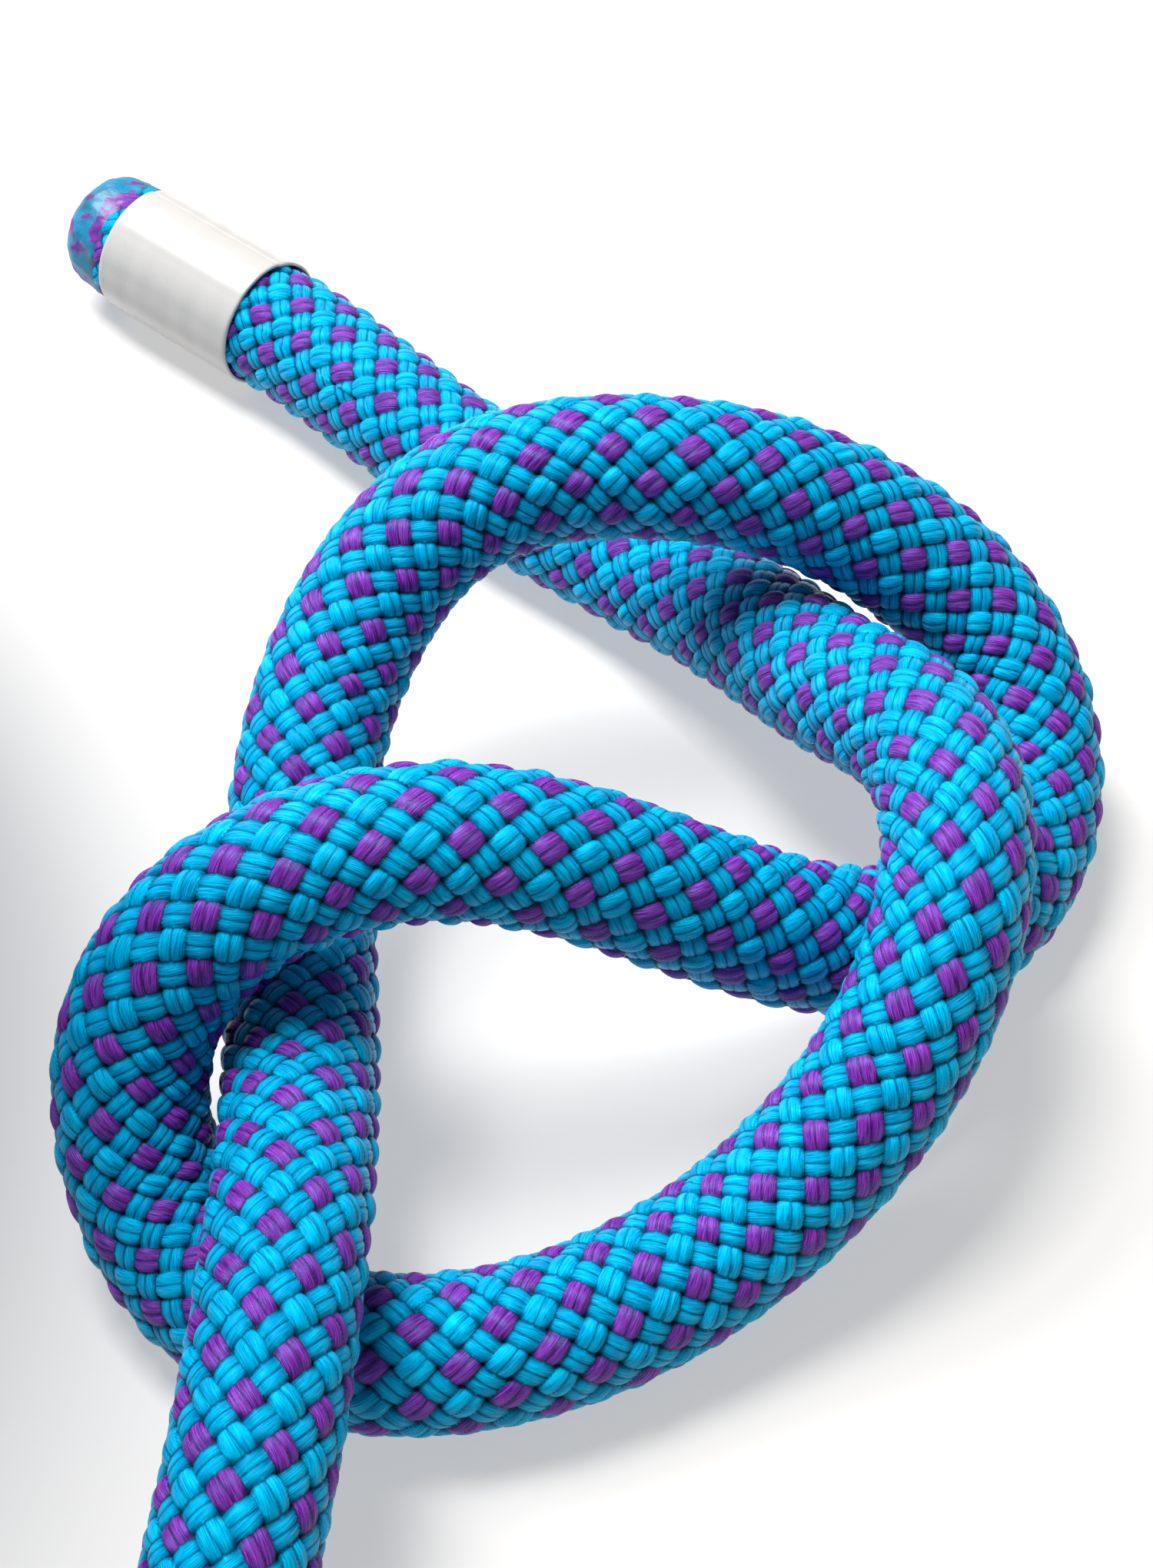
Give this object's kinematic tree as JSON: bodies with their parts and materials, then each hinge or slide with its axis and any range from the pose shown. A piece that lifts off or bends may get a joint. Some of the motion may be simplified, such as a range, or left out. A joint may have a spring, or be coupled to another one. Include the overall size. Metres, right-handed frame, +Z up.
{
  "type": "dynamic climbing rope",
  "caption": "Kernmantle dynamic climbing rope in a teal and purple weave, one end laid in a loose figure-eight knot, the rest in a strapped round coil.",
  "frame": {"origin": "middle of the footprint, on the surface the rope lies on", "axes": "+Z up, +X from the coil towards the knot, +Y away from the side where the rope runs from the knot to the coil"},
  "size_m": [0.2428, 0.1609, 0.0746],
  "materials": {
    "sheath_yarn": "satin woven polyamide yarn, teal with purple",
    "core_yarn": "white polyamide yarn",
    "end_tape": "bare white film",
    "fused_tip": "melted yarn",
    "strap_webbing": "woven hook-and-loop webbing"
  },
  "bodies": {
    "root": {"sheath": "sheath_yarn", "core_strand_1": "core_yarn", "core_strand_2": "core_yarn", "core_strand_3": "core_yarn", "core_strand_4": "core_yarn", "core_strand_5": "core_yarn", "core_strand_6": "core_yarn", "core_strand_7": "core_yarn", "knot_end_tape": "end_tape", "knot_end_tip": "fused_tip", "coil_turns": "sheath_yarn", "coil_filling": "sheath_yarn", "coil_end_tape": "end_tape", "coil_end_tip": "fused_tip", "strap_1": "strap_webbing", "strap_2": "strap_webbing", "strap_3": "strap_webbing"}
  },
  "joints": []
}
